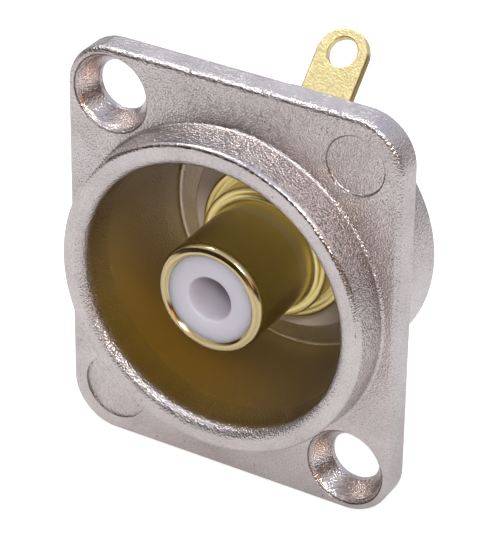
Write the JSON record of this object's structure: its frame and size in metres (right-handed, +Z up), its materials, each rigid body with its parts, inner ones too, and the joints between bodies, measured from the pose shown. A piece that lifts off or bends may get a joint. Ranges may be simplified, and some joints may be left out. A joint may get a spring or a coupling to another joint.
{
  "type": "panel socket",
  "caption": "Phono panel socket: rectangular flange with countersunk screw holes, round collar and cup, gold barrel contact and a bent solder tag.",
  "frame": {"origin": "centre of the flange's rear face, which lies on the panel's front face", "axes": "+X right and +Z up as seen from the front, +Y into the panel, so the plug leaves along -Y"},
  "size_m": [0.026, 0.0235, 0.031],
  "materials": {
    "nickel_plated_casting": "satin nickel plating over a bead-blasted zinc die casting",
    "gold_plated_brass": "bright gold plating over turned brass",
    "white_nylon": "moulded white nylon",
    "gold_plated_spring": "gold plating over spring brass",
    "grey_washer_nylon": "moulded pale grey nylon",
    "black_nylon": "moulded black nylon",
    "gold_plated_sheet": "gold plating over rolled brass sheet",
    "nickel_plated_nut": "nickel plating over turned brass"
  },
  "bodies": {
    "root": {"housing": "nickel_plated_casting", "outer_contact": "gold_plated_brass", "insulator": "white_nylon", "centre_contact": "gold_plated_spring", "front_washer": "grey_washer_nylon", "rear_bush": "black_nylon", "solder_tag": "gold_plated_sheet", "hex_nut": "nickel_plated_nut"}
  },
  "joints": []
}
